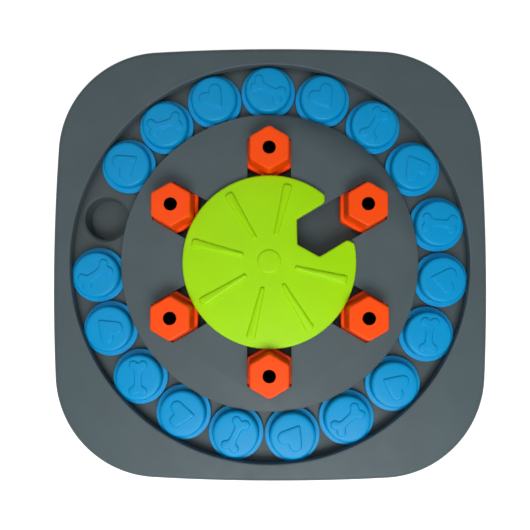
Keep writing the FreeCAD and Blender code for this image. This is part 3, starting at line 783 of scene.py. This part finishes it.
class FEEDER_OT_cover(bpy.types.Operator):
    """Make the square cover with its round opening."""

    bl_idname = "feeder.cover"
    bl_label = "Cover"

    def board_row(self, bm, s, inset, height):
        """Level outline of the board, drawn in by inset: four bowed sides and four corner arcs."""
        low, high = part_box("top_frame")
        half = (high[0] - low[0]) / 2 / MM
        bow, corner = mm(s.bow_radius), mm(s.corner_radius)
        set_back = bow - half
        offset = (math.sqrt(2 * (bow - corner) ** 2 - set_back**2) - set_back) / 2
        join = math.atan2(offset, offset + set_back)
        part = bmesh.new()
        side = bow - inset
        last = part.verts.new((-set_back + side * math.cos(join), -side * math.sin(join), height))
        for quarter in range(4):
            turn = Matrix.Rotation(math.pi / 2 * quarter, 3, "Z")
            sweeps = [
                ((-set_back, 0, height), 2 * join, 24),
                ((offset, offset, height), math.pi / 2 - 2 * join, 36),
            ]
            for centre, angle, steps in sweeps:
                done = bmesh.ops.spin(
                    part, geom=[last], cent=turn @ Vector(centre), axis=UP, dvec=(0, 0, 0), angle=angle,
                    steps=steps, use_merge=False,
                )
                last = [item for item in done["geom_last"] if isinstance(item, bmesh.types.BMVert)][0]
        bmesh.ops.remove_doubles(part, verts=part.verts[:], dist=1e-2)
        return add_row(bm, part)

    def execute(self, context):
        s = context.scene.feeder_cover
        bottom, top = heights("top_frame")
        opening, opening_edge = mm(s.opening_radius), mm(s.opening_edge)
        ceiling = top - mm(s.top_thickness)
        lip_bottom, wall = mm(s.lip_bottom), mm(s.wall)
        bm = bmesh.new()
        rows = [self.board_row(bm, s, 0.3, bottom), self.board_row(bm, s, 0.0, bottom + 0.3)]
        rows += [self.board_row(bm, s, inset, top - drop) for inset, drop in quarter_round(mm(s.edge), 8)]
        rows.append(self.board_row(bm, s, mm(s.edge) + 0.5, top))
        rows.append(circle_row(bm, opening + opening_edge + 0.4, top, 240))
        rows += [
            circle_row(bm, opening + inset, top - drop, 240)
            for inset, drop in reversed(quarter_round(opening_edge, 5))
        ]
        rows += [
            circle_row(bm, opening, lip_bottom + 0.3, 240),
            circle_row(bm, opening + 0.3, lip_bottom, 240),
            circle_row(bm, opening + mm(s.lip_width), lip_bottom, 240),
            circle_row(bm, opening + mm(s.lip_width), ceiling, 240),
            self.board_row(bm, s, wall, ceiling),
            self.board_row(bm, s, wall, bottom),
        ]
        join_rows(bm, rows)
        close_up(bm)
        set_piece("cover_top", bm, "grey", "base", ["top_frame"])
        return {"FINISHED"}


class FEEDER_OT_plate_and_tray(bpy.types.Operator):
    """Finish the slotted plate and the tray with its wells."""

    bl_idname = "feeder.plate_and_tray"
    bl_label = "Plate and tray"

    def execute(self, context):
        soften_node("slotted_plate", "centre_plate", "grey", 0.5)
        # The tray gets its darker grey, which is painted shade in the channel
        soften_node("well_tray", "base_tray", "tray", 0.35)
        return {"FINISHED"}


class FEEDER_OT_fittings(bpy.types.Operator):
    """Give the feet, screws, washer and shaft their finishes."""

    bl_idname = "feeder.fittings"
    bl_label = "Feet and fasteners"

    def execute(self, context):
        kinds = {
            "rubber": [f"rubber_foot_{n}" for n in range(1, 5)],
            "steel": ["plate_screws", "frame_screws", "wheel_screw", "wheel_washer"],
            "green": ["wheel_shaft"],
        }
        for finish, nodes in kinds.items():
            for node in nodes:
                obj = frame["nodes"][node]
                if not obj.material_slots:
                    raise RuntimeError(f"{node} has no material slot")
                for slot in obj.material_slots:
                    slot.material = finish_of(finish)
        return {"FINISHED"}


class FEEDER_OT_studio(bpy.types.Operator):
    """Set the floor, lamps, room light and camera."""

    bl_idname = "feeder.studio"
    bl_label = "Studio"

    def seen(self, nodes, links):
        """1 where the camera or a reflection looks straight at something, otherwise 0."""
        path = nodes.new("ShaderNodeLightPath")
        found = path.outputs["Is Camera Ray"]
        for kind in ("Is Glossy Ray", "Is Transmission Ray"):
            larger = nodes.new("ShaderNodeMath")
            larger.operation = "MAXIMUM"
            links.new(found, larger.inputs[0])
            links.new(path.outputs[kind], larger.inputs[1])
            found = larger.outputs[0]
        return found

    def floor(self):
        """Pale floor that goes white in the picture and keeps the board's shadow."""
        bm = bmesh.new()
        bmesh.ops.create_grid(bm, x_segments=2, y_segments=2, size=3.0)
        mesh = bpy.data.meshes.new("floor")
        bm.to_mesh(mesh)
        bm.free()
        floor = bpy.data.objects.new("floor", mesh)
        bpy.context.scene.collection.objects.link(floor)
        material = bpy.data.materials.new("pale_floor")
        material.use_nodes = True
        nodes, links = material.node_tree.nodes, material.node_tree.links
        nodes.clear()
        out = nodes.new("ShaderNodeOutputMaterial")
        both = nodes.new("ShaderNodeAddShader")
        paint = nodes.new("ShaderNodeBsdfDiffuse")
        paint.inputs["Color"].default_value = (FLOOR_PAINT, FLOOR_PAINT, FLOOR_PAINT, 1.0)
        glow = nodes.new("ShaderNodeEmission")
        share = nodes.new("ShaderNodeMath")
        share.operation = "MULTIPLY"
        share.inputs[1].default_value = FLOOR_GLOW
        links.new(self.seen(nodes, links), share.inputs[0])
        links.new(share.outputs[0], glow.inputs["Strength"])
        links.new(paint.outputs[0], both.inputs[0])
        links.new(glow.outputs[0], both.inputs[1])
        links.new(both.outputs[0], out.inputs["Surface"])
        mesh.materials.append(material)

    def lamp(self, name, place, power, size):
        """Large soft lamp that faces the middle of the board."""
        light = bpy.data.lights.new(name, "AREA")
        light.shape = "RECTANGLE"
        light.size, light.size_y = size
        light.energy = power
        lamp = bpy.data.objects.new(name, light)
        lamp.location = place
        lamp.rotation_euler = (Vector((0, 0, 0.02)) - Vector(place)).to_track_quat("-Z", "Y").to_euler()
        bpy.context.scene.collection.objects.link(lamp)

    def execute(self, context):
        scene, s = context.scene, context.scene.feeder_studio
        scene.view_settings.view_transform = "Standard"
        self.floor()
        self.lamp("front_lamp", (0.04, -0.45, 0.62), s.front_power, (0.5, 0.35))
        self.lamp("top_lamp", (-0.25, 0.15, 1.3), s.top_power, (0.9, 0.9))
        world = bpy.data.worlds.new("room")
        scene.world = world
        world.use_nodes = True
        nodes, links = world.node_tree.nodes, world.node_tree.links
        background = nodes["Background"]
        background.inputs["Color"].default_value = (1.0, 1.0, 1.0, 1.0)
        level = nodes.new("ShaderNodeMapRange")
        level.inputs["To Min"].default_value = s.ambient
        level.inputs["To Max"].default_value = 1.0
        links.new(self.seen(nodes, links), level.inputs["Value"])
        links.new(level.outputs["Result"], background.inputs["Strength"])
        camera = bpy.data.cameras.new("camera")
        camera.sensor_width = 36.0
        camera.lens = s.lens
        camera.clip_start = 0.01
        holder = bpy.data.objects.new("camera", camera)
        holder.location = (0.0006, -0.016, s.camera_height)
        holder.rotation_euler = (math.radians(2.1), math.radians(0.54), 0.0)
        scene.collection.objects.link(holder)
        scene.camera = holder
        return {"FINISHED"}


class FEEDER_PT_panel(bpy.types.Panel):
    """Sizes, colours and steps of the feeder board."""

    bl_idname = "FEEDER_PT_panel"
    bl_label = "Puzzle feeder"
    bl_space_type = "VIEW_3D"
    bl_region_type = "UI"
    bl_category = "Feeder"

    def draw(self, context):
        layout = self.layout
        for attribute, group in GROUPS.items():
            box = layout.box()
            box.label(text=group.__doc__)
            for name in group.__annotations__:
                box.prop(getattr(context.scene, attribute), name)
        for operator in OPERATORS:
            layout.operator(operator.bl_idname)


GROUPS = {
    "feeder_puck": PuckSizes,
    "feeder_slider": SliderSizes,
    "feeder_wheel": WheelSizes,
    "feeder_cover": CoverSizes,
    "feeder_colours": ToyColours,
    "feeder_studio": StudioSettings,
}
OPERATORS = (
    FEEDER_OT_cover,
    FEEDER_OT_plate_and_tray,
    FEEDER_OT_pucks,
    FEEDER_OT_sliders,
    FEEDER_OT_wheel,
    FEEDER_OT_fittings,
    FEEDER_OT_studio,
)


def register():
    """Registers the property groups, operators and panel."""
    for attribute, group in GROUPS.items():
        bpy.utils.register_class(group)
        setattr(bpy.types.Scene, attribute, PointerProperty(type=group))
    for cls in (*OPERATORS, FEEDER_PT_panel):
        bpy.utils.register_class(cls)


def unregister():
    """Takes the panel, operators and property groups away again."""
    for cls in (FEEDER_PT_panel, *reversed(OPERATORS)):
        bpy.utils.unregister_class(cls)
    for attribute, group in reversed(GROUPS.items()):
        delattr(bpy.types.Scene, attribute)
        bpy.utils.unregister_class(group)


def main():
    """Builds every piece and the studio."""
    register()
    bpy.ops.feeder.cover()
    bpy.ops.feeder.plate_and_tray()
    bpy.ops.feeder.pucks()
    bpy.ops.feeder.sliders()
    bpy.ops.feeder.wheel()
    bpy.ops.feeder.fittings()
    bpy.ops.feeder.studio()
    bpy.context.view_layer.update()


if __name__ == "__main__":
    main()
